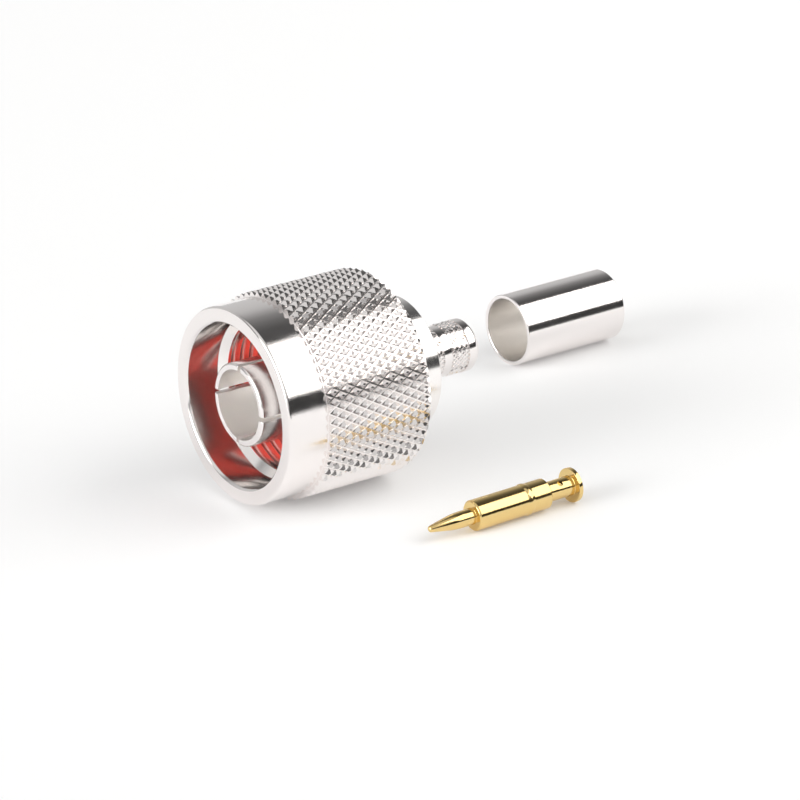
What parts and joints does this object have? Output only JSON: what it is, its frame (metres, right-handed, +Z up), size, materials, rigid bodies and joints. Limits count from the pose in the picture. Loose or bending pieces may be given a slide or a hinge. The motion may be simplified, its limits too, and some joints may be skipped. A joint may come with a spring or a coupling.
{
  "type": "n type coaxial crimp plug",
  "caption": "Coaxial crimp plug with a knurled coupling nut that spins on its body, laid out with its loose crimp ferrule and loose centre contact.",
  "frame": {"origin": "on the plug's axis at the tip of the slotted outer contact, which is its reference plane", "axes": "+X along the axis from the mouth to the crimp stem, +Z up, with the plug lying on its knurl on the plane z = -10.28 mm"},
  "size_m": [0.0563, 0.0375, 0.0206],
  "materials": {
    "plated_brass": "white bronze plating, satin bright",
    "sleeve_plating": "white bronze plating on spring bronze",
    "gold_plating": "gold plating on turned brass",
    "red_silicone": "matt red silicone",
    "white_ptfe": "turned white PTFE",
    "spring_bronze": "plain spring bronze"
  },
  "bodies": {
    "plug": {"connector_body": "plated_brass", "outer_contact": "sleeve_plating", "insulator": "white_ptfe", "gasket": "red_silicone", "retaining_ring": "spring_bronze", "crimp_ferrule": "plated_brass", "center_contact": "gold_plating"},
    "nut": {"coupling_nut": "plated_brass"}
  },
  "joints": [
    {"name": "nut_spin", "type": "hinge", "parent": "plug", "child": "nut", "pos_m": [0.016, 0, 0], "axis": [1, 0, 0], "continuous": true}
  ]
}
